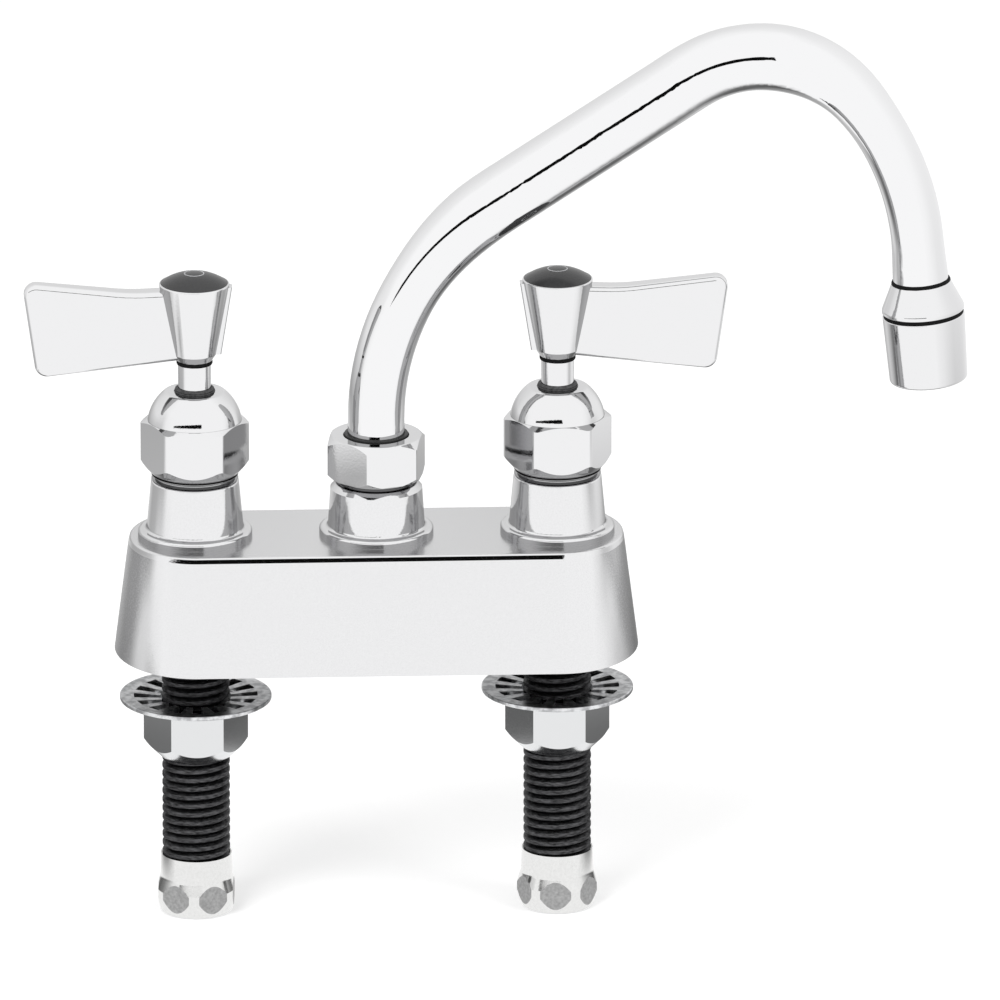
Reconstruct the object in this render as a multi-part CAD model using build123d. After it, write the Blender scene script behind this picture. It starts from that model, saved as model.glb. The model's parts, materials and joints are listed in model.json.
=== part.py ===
from build123d import *
from math import ceil, cos, pi, radians, sin, sqrt, tan
import os

# Centreset deck faucet: two quarter-turn lever valves and a swinging spout on one casting.
# The origin is on the deck, midway between the valves. +X points to the cold valve,
# -Y to the person at the sink and +Z up. Every length is in millimetres.

# Layout
valve_centres = 101.6
sides = {"hot": -1, "cold": 1}
running_gap = 0.05
seat_gap = 0.1
clear_gap = 0.3

# Base casting
base_height = 33.1
base_wall = 3.0
foot_half_width = 29.0
foot_end = 22.7
top_half_width = 21.8
top_end = 18.5
rim_band_height = 1.6
rim_band_tilt = 18.5
base_edge_round = 0.7
pad_radius = 16.0
pad_height = 2.2
pad_round = 0.9
pad_fillet = 0.8
thread_depth_share = 0.61
fine_pitch = 1.41

# Valve bosses on the casting
boss_foot_radius = 13.6
boss_top_radius = 12.3
boss_height = 16.5
boss_top = base_height + boss_height
boss_round = 0.5
neck_radius = 12.2
neck_height = 8.4
neck_top = boss_top + neck_height
valve_bore_radius = 9.5
barrel_wall = 3.2
seat_height = 11.0
seat_web = 2.0
seat_hole_radius = 6.0
shank_socket_radius = 9.0

# Spout boss on the casting
post_top_radius = 12.9
post_height = 13.5
post_top = base_height + post_height
post_shoulder_radius = 11.4
post_shoulder_rise = 1.4
post_shoulder_height = post_top + post_shoulder_rise
post_neck_radius = 11.3
post_neck_height = 10.0
post_neck_top = post_shoulder_height + post_neck_height
tail_radius = 7.6
tail_length = 16.0
tail_foot = post_neck_top - tail_length
water_room_radius = 6.2
waterway_over_seat = 13.0
waterway_height = seat_height + waterway_over_seat
water_room_depth = 6.0
water_room_floor = waterway_height - water_room_depth
waterway_radius = 4.0
waterway_wall = 2.2

# Shanks and what screws on them
shank_radius = 9.525
shank_pitch = 2.54
shank_bore_radius = 6.35
shank_runout = 2.6
coupling_bottom = -77.5
coupling_length = 16.9
coupling_top = coupling_bottom + coupling_length
coupling_top_radius = 9.95
coupling_shoulder_radius = 10.2
coupling_belly_radius = 11.35
coupling_belly_rise = 6.7
coupling_belly_height = coupling_bottom + coupling_belly_rise
coupling_foot_radius = 10.1
coupling_foot_round = 0.8
coupling_belly_band = 2.2
coupling_belly_round = 1.2
coupling_shoulder_drop = 6.6
coupling_shoulder_round = 2.5
coupling_flat_distance = 10.5
coupling_turn = {"hot": 24.5, "cold": -5.0}
inlet_radius = 8.4
inlet_depth = 8.5
washer_height = {"hot": -14.8, "cold": -13.7}
washer_radius = 21.3
washer_bore_radius = 10.0
washer_thickness = 1.2
washer_dish = 0.8
washer_edge_round = 0.3
washer_slots = 16
washer_slot_end_radius = 17.4
washer_slot_share = 0.56
locknut_flats = 25.4
locknut_hex_depth = 11.0
locknut_depth = 16.0
locknut_chamfer = 0.7

# Valve cartridges
sleeve_gap = 0.15
sleeve_wall = 0.8
sleeve_flange_radius = 11.9
sleeve_flange_thickness = 2.5
sleeve_window_width = 11.0
sleeve_window_height = 7.0
sleeve_solid_over_waterway = 6.0
sleeve_solid_from = waterway_height + sleeve_solid_over_waterway
disc_thickness = 3.0
disc_gap = 0.2
disc_port_radius = 6.6
disc_port_hub = 1.9
disc_port_angle = 80.0
seal_thickness = 3.0
stem_radius = 4.1
stem_edge_round = 0.25
driver_width = 4.4
driver_height = 3.0
driver_tongue = 1.6
driver_tongue_width = 3.0
stop_radius = 8.3
stop_height = 3.0
stop_collar_radius = 6.6
stop_lug_angle = 50.0
valve_travel = 90.0
stop_slack = 1.5
o_ring_cord = 0.55
stem_o_ring_depth = 6.0
stem_o_ring_height = neck_top - stem_o_ring_depth
sleeve_o_ring_depth = 16.0
sleeve_o_ring_height = neck_top - sleeve_o_ring_depth

# Bonnet nuts
bonnet_flats = 26.99
bonnet_corner_round = 2.5
bonnet_overlap = 6.1
bonnet_foot = neck_top - bonnet_overlap
bonnet_chamfer_height = 3.9
bonnet_hex_height = 13.9
bonnet_hex_top = bonnet_foot + bonnet_hex_height
bonnet_shoulder_drop = 1.4
dome_radius = 13.4
dome_sunk = 0.9
dome_foot = bonnet_hex_top - dome_sunk
dome_flat_rise = 10.5
dome_flat = dome_foot + dome_flat_rise
dome_flat_round = 1.2
stem_hole_radius = 5.8
wiper_height = 2.4
wiper_sunk = 1.2
wiper_lip = 0.35
wiper_waist_share = 0.62
wiper_top_inset = 0.1
wiper_top_round = 0.2
bonnet_turn = {"hot": -3.0, "cold": 3.6}

# Handles
collar_radius = 4.6
hub_over_dome = 9.1
hub_foot = dome_flat + hub_over_dome
hub_foot_radius = 4.95
hub_chamfer_height = 2.0
hub_chamfer_top = hub_foot + hub_chamfer_height
hub_lower_radius = 6.2
hub_height = 22.5
hub_rim = hub_foot + hub_height
hub_rim_radius = 9.9
hub_rim_round = 0.35
hub_chamfer_round = 0.6
lever_reach = 48.2
lever_tip_over_rim = 1.0
lever_tip_top = hub_rim + lever_tip_over_rim
lever_dip_reach = 18.0
lever_dip_depth = 2.2
lever_dip = hub_rim - lever_dip_depth
lever_dip_round = 60.0
lever_root_depth = 1.5
lever_root_top = hub_rim - lever_root_depth
lever_tip_bottom_reach = 44.2
lever_tip_drop = 4.3
lever_tip_bottom = hub_foot - lever_tip_drop
lever_root_rise = 1.1
lever_root_bottom = hub_foot + lever_root_rise
lever_tip_round = 3.4
lever_root_thickness = 7.0
lever_tip_thickness = 5.2
lever_edge_round = 1.6
rib_thickness = 4.0
rib_top_reach = 10.6
rib_bottom_reach = 7.5
rib_round = 0.8
rib_drop = 1.0
spline_length = 12.5
spline_top = hub_foot + spline_length
hub_web = 1.8
screw_room_radius = 6.4
screw_head_radius = 3.6
screw_head_height = 2.6
screw_head_round = 0.9
screw_radius = 2.1
screw_bottom_rise = 3.5
screw_bottom = hub_foot + screw_bottom_rise
screw_drive_radius = 1.6
screw_drive_depth = 1.4
screw_hole_spare = 1.0
button_radius = 9.4
button_sunk = 1.8
button_seat = hub_rim - button_sunk
button_dome = 3.0
button_plug_wall = 1.2
button_plug_depth = 2.0

# Spout, in the order of its path
foot_straight = 8.8
foot_run = post_neck_top + foot_straight
rise_radius = 75.4
rise_end_slope = 33.2
diagonal_run = 64.2
crown_radius = 35.4
crown_end_slope = -51.1
fall_radius = 77.1
drop_slope = -85.3
drop_run = 11.1
spout_wall = 1.5
foot_radius = 7.95
middle_radius = 9.35
tip_radius = 7.35
tip_end_radius = 7.8
tip_flare_run = 12.0
tail_edge_round = 0.5
swell_from = 61.0
swell_to = 97.0
shrink_from = 188.0
shrink_to = 230.0
section_step = 7.0
spout_o_ring_rise = 4.0
spout_o_ring_spacing = 6.0
spout_o_ring_heights = (
    tail_foot + spout_o_ring_rise,
    tail_foot + spout_o_ring_rise + spout_o_ring_spacing,
)

# Spout nut
spout_nut_flats = 25.4
spout_nut_corner_round = 0.8
spout_nut_overlap = 8.0
spout_nut_height = 12.0
spout_nut_foot = post_neck_top - spout_nut_overlap
spout_nut_top = spout_nut_foot + spout_nut_height
spout_nut_top_radius = 12.6
spout_nut_bore_radius = 9.0
spout_nut_roof = 2.0
spout_nut_chamfer = 1.6
spout_nut_edge_round = 0.5
spout_nut_turn = 18.5
spout_collar_radius = 10.4
collar_lip_rise = 0.4
collar_lip_round = 0.2

# Aerator, with heights measured down its own axis from the end of the spout
adapter_shoulder = 7.3
adapter_length = 8.35
adapter_top_radius = 8.3
aerator_radius = 11.55
adapter_socket = 4.0
adapter_shoulder_round = 1.2
aerator_edge_round = 0.3
adapter_neck_radius = 9.7
adapter_neck_end = 14.5
seam = 1.05
seal_ring_sunk = 0.3
housing_end = 28.7
housing_foot_radius = 10.9
housing_round = 0.9
housing_bore_radius = 9.8
housing_lip_radius = 8.6
housing_lip = 1.8
housing_lip_round = 0.4
aerator_washer_thickness = 1.8
insert_floor = 1.6
insert_wall = 1.3
insert_holes = 18
insert_hole_radius = 0.7
screen_thickness = 0.8
screen_pitch = 2.2
screen_bar = 0.6


# Shared shapes
def turned(*outline):
    """Turn (radius, height) points about Z; a third number rounds that corner."""
    rounds = [point[2] if len(point) > 2 else 0 for point in outline]
    points = [(point[0], point[1]) for point in outline]
    edge = FilletPolyline(*points, radius=rounds, close=True)
    return revolve(make_face(Plane.XZ * edge), Axis.Z)


def ring(inner, outer, low, high):
    return turned((inner, low), (outer, low), (outer, high), (inner, high))


def rod(radius, low, high):
    return turned((0, low), (radius, low), (radius, high), (0, high))


def hex_prism(across_flats, low, high, turn=0.0, corner_round=0.0):
    outline = RegularPolygon(across_flats / 2, 6, major_radius=False, rotation=turn)
    if corner_round > 0:
        outline = fillet(outline.vertices(), corner_round)
    return Pos(0, 0, low) * extrude(outline, high - low)


def thread_outline(crest, pitch, low, high):
    """Points of ring grooves of one pitch, from the low height up to the high one."""
    depth = thread_depth_share * pitch
    flat = pitch / 7
    points = []
    for turn in range(int((high - low) / pitch)):
        start = low + turn * pitch
        points.append((crest, start + flat / 2))
        points.append((crest - depth, start + pitch / 2 - flat / 2))
        points.append((crest - depth, start + pitch / 2 + flat / 2))
        points.append((crest, start + pitch - flat / 2))
    return points


def domed(radius, low, height):
    """Cap of a sphere that is radius wide and height tall, standing on the low height."""
    curve = ThreePointArc(
        (radius, low), cap_point(radius, height, low), (0, low + height)
    )
    sides_of_cap = [Line((0, low), (radius, low)), curve, Line((0, low + height), (0, low))]
    return revolve(make_face(Plane.XZ * Wire(sides_of_cap)), Axis.Z)


def cap_point(radius, height, low):
    """A point half way up the arc of a spherical cap."""
    ball = (radius**2 + height**2) / (2 * height)
    rise = height / 2
    across = sqrt(ball**2 - (ball - height + rise) ** 2)
    return (across, low + rise)


def sector(radius, low, high, start, angle):
    """Wedge about Z, from a start angle round through another angle, in degrees."""
    outline = Plane.XY * make_face(
        Wire(
            [
                Line((0, 0), (radius * cos(radians(start)), radius * sin(radians(start)))),
                CenterArc((0, 0), radius, start, angle),
                Line(
                    (radius * cos(radians(start + angle)), radius * sin(radians(start + angle))),
                    (0, 0),
                ),
            ]
        )
    )
    return Pos(0, 0, low) * extrude(outline, high - low)


def o_ring(inside, outside, height):
    """Rubber ring whose round section just fills the space between two radii."""
    return Pos(0, 0, height) * Torus((inside + outside) / 2, (outside - inside) / 2)


def at_valve(side, shape):
    return Pos(sides[side] * valve_centres / 2, 0, 0) * shape


# Base casting
def base_outline(half_width, end):
    """A rectangle over the valve centres, with a half ellipse past each of them."""
    half = valve_centres / 2
    outline = [
        Line((-half, -half_width), (half, -half_width)),
        EllipticalCenterArc((half, 0), end, half_width, -90, arc_size=180),
        Line((half, half_width), (-half, half_width)),
        EllipticalCenterArc((-half, 0), end, half_width, 90, arc_size=180),
    ]
    return make_face(Wire(outline))


def drafted_outline(inset, height):
    """The base's outline at a height, shrunk all round by an inset."""
    taper = height / base_height
    half_width = foot_half_width + (top_half_width - foot_half_width) * taper
    end = foot_end + (top_end - foot_end) * taper
    return Pos(0, 0, height) * base_outline(half_width - inset, end - inset)


def outer_block():
    """The base's tapering block, whose sides lean in a little more just under the top edge."""
    draft = (foot_half_width - top_half_width) / base_height
    lean = rim_band_height * (tan(radians(rim_band_tilt)) - draft)
    foot = drafted_outline(0, 0)
    band_foot = drafted_outline(0, base_height - rim_band_height)
    top = drafted_outline(lean, base_height)
    return loft([foot, band_foot, top], ruled=True)


def inner_block():
    """The hollow of the base, a wall's thickness inside its skin."""
    foot = drafted_outline(base_wall, 0)
    roof = drafted_outline(base_wall, base_height - base_wall)
    return loft([foot, roof], ruled=True)


def boss(foot_radius_of_boss, top_outline):
    """Pad, cone and neck that stand on the casting's top face."""
    buried = base_height - base_wall
    pad_top = base_height + pad_height
    return turned(
        (0, buried),
        (pad_radius, buried),
        (pad_radius, pad_top, pad_round),
        (foot_radius_of_boss, pad_top, pad_fillet),
        *top_outline,
        (0, top_outline[-1][1]),
    )


def body_casting():
    valve_neck = [
        (boss_top_radius, boss_top, boss_round),
        (neck_radius - fine_pitch * thread_depth_share, boss_top),
        *thread_outline(neck_radius, fine_pitch, boss_top + fine_pitch / 4, neck_top),
        (neck_radius - fine_pitch * thread_depth_share, neck_top),
    ]
    post_neck = [
        (post_top_radius, post_top),
        (post_shoulder_radius, post_shoulder_height),
        (post_neck_radius - fine_pitch * thread_depth_share, post_shoulder_height),
        *thread_outline(
            post_neck_radius, fine_pitch, post_shoulder_height + fine_pitch / 4, post_neck_top
        ),
        (post_neck_radius - fine_pitch * thread_depth_share, post_neck_top),
    ]
    block = outer_block()
    rim = block.edges().group_by(Axis.Z)[-1]
    casting = fillet(rim, base_edge_round)
    casting -= inner_block()
    roof = base_height - base_wall / 2
    barrel_radius = valve_bore_radius + barrel_wall
    channel = Pos(0, 0, waterway_height) * Rot(0, 90, 0)
    room_wall = water_room_radius + waterway_wall
    casting += channel * Cylinder(waterway_radius + waterway_wall, valve_centres)
    casting += rod(room_wall, water_room_floor - waterway_wall, roof)
    casting += boss(boss_foot_radius, post_neck)
    for side in sides:
        casting += at_valve(side, rod(barrel_radius, 0, roof))
        casting += at_valve(side, boss(boss_foot_radius, valve_neck))
    for side in sides:
        casting -= at_valve(side, rod(valve_bore_radius, seat_height, neck_top))
        casting -= at_valve(side, rod(seat_hole_radius, 0, seat_height))
        socket_top = seat_height - seat_web
        casting -= at_valve(side, rod(shank_socket_radius + running_gap, 0, socket_top))
    casting -= channel * Cylinder(waterway_radius, valve_centres)
    casting -= rod(water_room_radius, water_room_floor, tail_foot)
    casting -= rod(tail_radius + running_gap, tail_foot - clear_gap, post_neck_top)
    return casting


# Shank, coupling, washer and locknut
def shank_foot():
    return coupling_bottom + inlet_depth


def shank():
    """Threaded pipe from its socket in the casting down through the deck."""
    top = seat_height - seat_web
    foot = shank_foot()
    thread = thread_outline(shank_radius, shank_pitch, foot, -shank_runout)
    outline = [
        (shank_bore_radius, foot),
        (shank_radius, foot),
        *thread,
        (shank_radius, 0),
        (shank_socket_radius, 0),
        (shank_socket_radius, top),
        (shank_bore_radius, top),
    ]
    return turned(*outline)


def coupling(side):
    """Rounded end piece with six flats, screwed to the shank and open below for the supply."""
    seat = shank_foot() - seat_gap
    shape = turned(
        (inlet_radius, coupling_bottom),
        (coupling_foot_radius, coupling_bottom, coupling_foot_round),
        (coupling_belly_radius, coupling_belly_height - coupling_belly_band, coupling_belly_round),
        (coupling_belly_radius, coupling_belly_height, coupling_belly_round),
        (coupling_shoulder_radius, coupling_top - coupling_shoulder_drop, coupling_shoulder_round),
        (coupling_top_radius, coupling_top),
        (shank_radius + running_gap, coupling_top),
        (shank_radius + running_gap, seat),
        (inlet_radius, seat),
    )
    flats = hex_prism(
        2 * coupling_flat_distance, coupling_bottom, coupling_top, coupling_turn[side]
    )
    return shape & flats


def lock_washer(side):
    """Dished steel washer with slots that open into its bore."""
    low = washer_height[side] - washer_thickness / 2 - washer_dish / 2
    rim_low = low + washer_dish
    disc = turned(
        (washer_bore_radius, low),
        (washer_radius, rim_low, washer_edge_round),
        (washer_radius, rim_low + washer_thickness, washer_edge_round),
        (washer_bore_radius, low + washer_thickness),
    )
    pitch = 360 / washer_slots
    angle = pitch * washer_slot_share
    high = rim_low + washer_thickness
    for number in range(washer_slots):
        disc -= sector(washer_slot_end_radius, low, high, number * pitch - angle / 2, angle)
    return disc


def locknut(side):
    """Hexagon nut with a long cone below, against the washer."""
    top = washer_height[side] - washer_thickness / 2 - washer_dish / 2
    corner = locknut_flats / sqrt(3)
    bottom = top - locknut_depth
    cone_top = top - locknut_hex_depth
    cone_foot = corner - (cone_top - bottom)
    shape = turned(
        (shank_radius + seat_gap, bottom),
        (cone_foot, bottom),
        (corner, cone_top),
        (corner, top - locknut_chamfer),
        (corner - 2 * locknut_chamfer, top),
        (shank_radius + seat_gap, top),
    )
    return shape & hex_prism(locknut_flats, bottom, top)


# Valve cartridge
def sleeve_radius():
    return valve_bore_radius - sleeve_gap


def disc_radius():
    return sleeve_radius() - sleeve_wall - disc_gap


def fixed_disc_floor():
    return seat_height + seal_thickness


def moving_disc_floor():
    return fixed_disc_floor() + disc_thickness


def seat_seal():
    return ring(seat_hole_radius, sleeve_radius(), seat_height, fixed_disc_floor())


def ported_disc(low):
    """Ceramic disc with two openings across from each other."""
    disc = rod(disc_radius(), low, low + disc_thickness)
    for start in (-disc_port_angle / 2, 180 - disc_port_angle / 2):
        port = sector(disc_port_radius, low, low + disc_thickness, start, disc_port_angle)
        disc -= port - rod(disc_port_hub, low, low + disc_thickness)
    return disc


def fixed_disc():
    return ported_disc(fixed_disc_floor())


def moving_disc():
    """The disc that the stem turns: a slot across its top takes the stem's tongue."""
    low = moving_disc_floor()
    disc = Rot(0, 0, 90) * ported_disc(low)
    slot_depth = driver_tongue + seat_gap
    slot = Box(
        2 * disc_radius(),
        driver_tongue_width + 2 * running_gap,
        slot_depth,
        align=(Align.CENTER, Align.CENTER, Align.MAX),
    )
    return disc - Pos(0, 0, low + disc_thickness) * slot


def stem(side):
    """Plated brass stem: tongue and driver bar, bearing, stop lug, collar and handle spline."""
    disc_top = moving_disc_floor() + disc_thickness
    driver_top = disc_top + driver_height
    flange_top = neck_top + sleeve_flange_thickness
    stop_floor = flange_top + seat_gap
    shape = turned(
        (0, disc_top),
        (stem_radius, disc_top),
        (stem_radius, stem_o_ring_height - o_ring_cord),
        (stem_radius - 2 * o_ring_cord, stem_o_ring_height - o_ring_cord),
        (stem_radius - 2 * o_ring_cord, stem_o_ring_height + o_ring_cord),
        (stem_radius, stem_o_ring_height + o_ring_cord),
        (stem_radius, stop_floor),
        (stop_collar_radius, stop_floor),
        (stop_collar_radius, stop_floor + stop_height),
        (collar_radius, stop_floor + stop_height),
        (collar_radius, hub_foot, stem_edge_round),
        (stem_radius, hub_foot),
        (stem_radius, spline_top),
        (0, spline_top),
    )
    driver = Box(
        2 * disc_radius() - 2 * disc_gap,
        driver_width,
        driver_height,
        align=(Align.CENTER, Align.CENTER, Align.MIN),
    )
    tongue = Box(
        2 * disc_radius() - 2 * disc_gap,
        driver_tongue_width,
        driver_tongue,
        align=(Align.CENTER, Align.CENTER, Align.MAX),
    )
    round_edge = rod(disc_radius() - disc_gap, disc_top - driver_tongue, driver_top)
    shape += Pos(0, 0, disc_top) * (driver + tongue) & round_edge
    lug = sector(
        stop_radius,
        stop_floor,
        stop_floor + stop_height,
        lug_start(side),
        stop_lug_angle,
    )
    shape += lug
    screw_hole = rod(screw_radius, screw_bottom - screw_hole_spare, spline_top)
    return shape - screw_hole


def lug_start(side):
    """Angle where the stop lug begins when the valve is shut."""
    return 180.0 if side == "hot" else -stop_lug_angle


def stop_wall_start(side):
    """Angle where the sleeve's stop wall begins: the lug's whole sweep stays clear of it."""
    sweep_end = lug_start(side) + stop_lug_angle + stop_slack
    if side == "hot":
        sweep_end += valve_travel
    return sweep_end


def cartridge_sleeve(side):
    """Brass sleeve that holds the discs, guides the stem and stops its turn."""
    outer = sleeve_radius()
    flange_top = neck_top + sleeve_flange_thickness
    groove = outer - 2 * o_ring_cord
    guide = stem_radius + running_gap
    room = outer - sleeve_wall
    shape = turned(
        (room, fixed_disc_floor()),
        (outer, fixed_disc_floor()),
        (outer, sleeve_o_ring_height - o_ring_cord),
        (groove, sleeve_o_ring_height - o_ring_cord),
        (groove, sleeve_o_ring_height + o_ring_cord),
        (outer, sleeve_o_ring_height + o_ring_cord),
        (outer, neck_top),
        (sleeve_flange_radius, neck_top),
        (sleeve_flange_radius, flange_top),
        (guide, flange_top),
        (guide, sleeve_solid_from),
        (room, sleeve_solid_from),
    )
    window = Box(4 * outer, sleeve_window_width, sleeve_window_height)
    shape -= Pos(0, 0, waterway_height) * window
    wall_angle = 360 - stop_lug_angle - valve_travel - 2 * stop_slack
    stop_outer = stop_radius + clear_gap
    stop_wall = sector(
        stop_outer, flange_top, flange_top + stop_height, stop_wall_start(side), wall_angle
    )
    stop_wall -= rod(stop_collar_radius + clear_gap, flange_top, flange_top + stop_height)
    return shape + stop_wall


def stem_o_ring():
    outside = stem_radius + running_gap / 2
    inside = stem_radius - 2 * o_ring_cord + running_gap / 2
    return o_ring(inside, outside, stem_o_ring_height)


def cartridge_o_ring():
    outer = sleeve_radius()
    return o_ring(outer - 2 * o_ring_cord + running_gap, outer + running_gap, sleeve_o_ring_height)


# Bonnet nut and wiper
def bonnet_nut(side):
    """Hexagon nut under a dome: it holds the cartridge's flange down on the neck."""
    corner = bonnet_flats / sqrt(3)
    bore = neck_radius + running_gap
    flange_top = neck_top + sleeve_flange_thickness
    skirt = turned(
        (0, bonnet_foot),
        (bore, bonnet_foot),
        (corner, bonnet_foot + bonnet_chamfer_height),
        (corner, bonnet_hex_top),
        (dome_radius, bonnet_hex_top + bonnet_shoulder_drop),
        (0, bonnet_hex_top + bonnet_shoulder_drop),
    )
    skirt &= hex_prism(
        bonnet_flats,
        bonnet_foot,
        bonnet_hex_top + bonnet_shoulder_drop,
        bonnet_turn[side],
        bonnet_corner_round,
    )
    dome = domed(dome_radius, dome_foot, dome_radius)
    dome &= rod(dome_radius + clear_gap, dome_foot, dome_flat)
    dome = fillet(dome.edges().group_by(Axis.Z)[-1], dome_flat_round)
    room_radius = stop_radius + 2 * clear_gap + running_gap
    room_top = flange_top + stop_height + 2 * clear_gap
    shell = skirt + dome
    shell -= rod(bore, bonnet_foot, flange_top)
    shell -= rod(room_radius, flange_top, room_top)
    shell -= rod(collar_radius + clear_gap, room_top, dome_flat)
    shell -= rod(stem_hole_radius, dome_flat - wiper_sunk, dome_flat)
    return shell


def stem_wiper():
    """Double-lipped rubber ring round the stem, standing a little proud of the dome."""
    floor = dome_flat - wiper_sunk
    outer = stem_hole_radius - running_gap
    inner = collar_radius + running_gap
    waist = outer - wiper_lip
    middle = floor + wiper_height * wiper_waist_share
    return turned(
        (inner, floor),
        (outer, floor),
        (outer, middle - wiper_lip),
        (waist, middle - wiper_lip / 2),
        (waist, middle + wiper_lip / 2),
        (outer, middle + wiper_lip),
        (outer - wiper_top_inset, floor + wiper_height, wiper_top_round),
        (inner, floor + wiper_height),
    )


# Handle
def lever_blade():
    """Deep flat lever: its side outline, thinned towards the tip."""
    outline = FilletPolyline(
        (0, lever_root_top),
        (lever_dip_reach, lever_dip),
        (lever_reach, lever_tip_top),
        (lever_tip_bottom_reach, lever_tip_bottom),
        (0, lever_root_bottom),
        radius=[0, lever_dip_round, lever_tip_round, lever_tip_round, 0],
        close=True,
    )
    root = lever_root_thickness / 2
    tip = lever_tip_thickness / 2
    plan = Polyline((0, -root), (lever_reach, -tip), (lever_reach, tip), (0, root), close=True)
    low = lever_tip_bottom - 1
    high = lever_tip_top + 1
    from_side = extrude(make_face(Plane.XZ * outline), lever_root_thickness, both=True)
    from_above = Pos(0, 0, low) * extrude(make_face(plan), high - low)
    blade = from_side & from_above
    rim = [edge for edge in blade.edges() if edge.center().X > 1 and abs(edge.center().Y) > 0.5]
    return fillet(rim, lever_edge_round)


def hub():
    return turned(
        (0, hub_foot),
        (hub_foot_radius, hub_foot),
        (hub_lower_radius, hub_chamfer_top, hub_chamfer_round),
        (hub_rim_radius, hub_rim, hub_rim_round),
        (0, hub_rim),
    )


def rear_rib():
    """Short rib down the hub, across from the lever."""
    outline = Polyline(
        (0, hub_chamfer_top),
        (-rib_bottom_reach, hub_chamfer_top),
        (-rib_top_reach, hub_rim - rib_drop),
        (0, hub_rim - rib_drop),
        close=True,
    )
    rib = extrude(make_face(Plane.XZ * outline), rib_thickness / 2, both=True)
    outer_edges = [
        edge for edge in rib.edges() if edge.center().X < -rib_bottom_reach and edge.length > 10
    ]
    return fillet(outer_edges, rib_round)


def handle(side):
    """Hub, lever and rib in one casting, made pointing to +X and turned for the hot side."""
    shape = hub() + lever_blade() + rear_rib()
    shape -= rod(stem_radius + running_gap, hub_foot, spline_top + seat_gap)
    web_top = spline_top + hub_web
    shape -= rod(screw_radius + running_gap, spline_top, web_top)
    shape -= rod(screw_room_radius, web_top, button_seat)
    shape -= rod(button_radius + running_gap, button_seat, hub_rim + 1)
    return Rot(0, 0, 180) * shape if side == "hot" else shape


def index_button():
    """Plain domed cap that closes the hub."""
    plug_radius = screw_room_radius - running_gap
    plug_low = button_seat - button_plug_depth
    plug = ring(plug_radius - button_plug_wall, plug_radius, plug_low, button_seat)
    return rod(button_radius, button_seat, hub_rim) + domed(button_radius, hub_rim, button_dome) + plug


def handle_screw():
    """Pan-head screw with a hexagon socket, from the hub down into the stem."""
    seat = spline_top + hub_web
    head = turned(
        (0, seat),
        (screw_head_radius, seat),
        (screw_head_radius, seat + screw_head_height, screw_head_round),
        (0, seat + screw_head_height),
    )
    shape = head + rod(screw_radius - running_gap, screw_bottom, seat)
    top = seat + screw_head_height
    socket = hex_prism(2 * screw_drive_radius, top - screw_drive_depth, top)
    return shape - socket


# Spout
def spout_path():
    """Centreline from the foot of the tail to the end of the tube: straights and tangent arcs."""
    foot = Line((0, tail_foot), (0, foot_run))
    rise = JernArc(foot @ 1, foot % 1, rise_radius, rise_end_slope - 90)
    diagonal = PolarLine(rise @ 1, diagonal_run, direction=rise % 1)
    crown = JernArc(
        diagonal @ 1, diagonal % 1, crown_radius, crown_end_slope - rise_end_slope
    )
    fall = JernArc(crown @ 1, crown % 1, fall_radius, drop_slope - crown_end_slope)
    drop = PolarLine(fall @ 1, drop_run + adapter_socket, direction=fall % 1)
    return [Plane.XZ * piece for piece in (foot, rise, diagonal, crown, fall, drop)]


def eased(value, start, end):
    """Smooth step from 0 at the start to 1 at the end."""
    share = min(max((value - start) / (end - start), 0), 1)
    return share * share * (3 - 2 * share)


def spout_radius(distance, length):
    """Outer radius of the spout at a distance along its path."""
    radius = foot_radius
    radius += (middle_radius - foot_radius) * eased(distance, swell_from, swell_to)
    radius += (tip_radius - middle_radius) * eased(distance, shrink_from, shrink_to)
    flare_end = length - adapter_socket
    flare = eased(distance, flare_end - tip_flare_run, flare_end)
    return radius + (tip_end_radius - tip_radius) * flare


def spout_core(inset):
    """Solid along the path above the tail, smaller than the tube's skin by an inset."""
    pieces = spout_path()
    total = sum(piece.length for piece in pieces)
    sections = []
    done = 0.0
    for number, piece in enumerate(pieces):
        first = post_neck_top - tail_foot if number == 0 else 0.0
        steps = max(ceil((piece.length - first) / section_step), 1)
        last = steps + 1 if piece is pieces[-1] else steps
        for step in range(last):
            along = first + (piece.length - first) * step / steps
            share = along / piece.length
            place = Plane(piece @ share, x_dir=(0, 1, 0), z_dir=piece % share)
            radius = spout_radius(done + along, total) - inset
            sections.append(place * Circle(radius))
        done += piece.length
    return loft([section.face() for section in sections])


def spout_tube():
    """Bent tube with a turned tail that stands in the casting's spout boss."""
    tail_bore = tail_radius - 2 * spout_wall
    groove = tail_radius - 2 * o_ring_cord
    tail_outline = [(tail_bore, tail_foot), (tail_radius, tail_foot, tail_edge_round)]
    for height in spout_o_ring_heights:
        tail_outline.append((tail_radius, height - o_ring_cord))
        tail_outline.append((groove, height - o_ring_cord))
        tail_outline.append((groove, height + o_ring_cord))
        tail_outline.append((tail_radius, height + o_ring_cord))
    tail_outline.append((tail_radius, post_neck_top))
    tail_outline.append((tail_bore, post_neck_top))
    tube = spout_core(0) - spout_core(spout_wall)
    step = ring(tail_bore, foot_radius, post_neck_top, post_neck_top + spout_wall)
    return tube + step + turned(*tail_outline)


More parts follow.
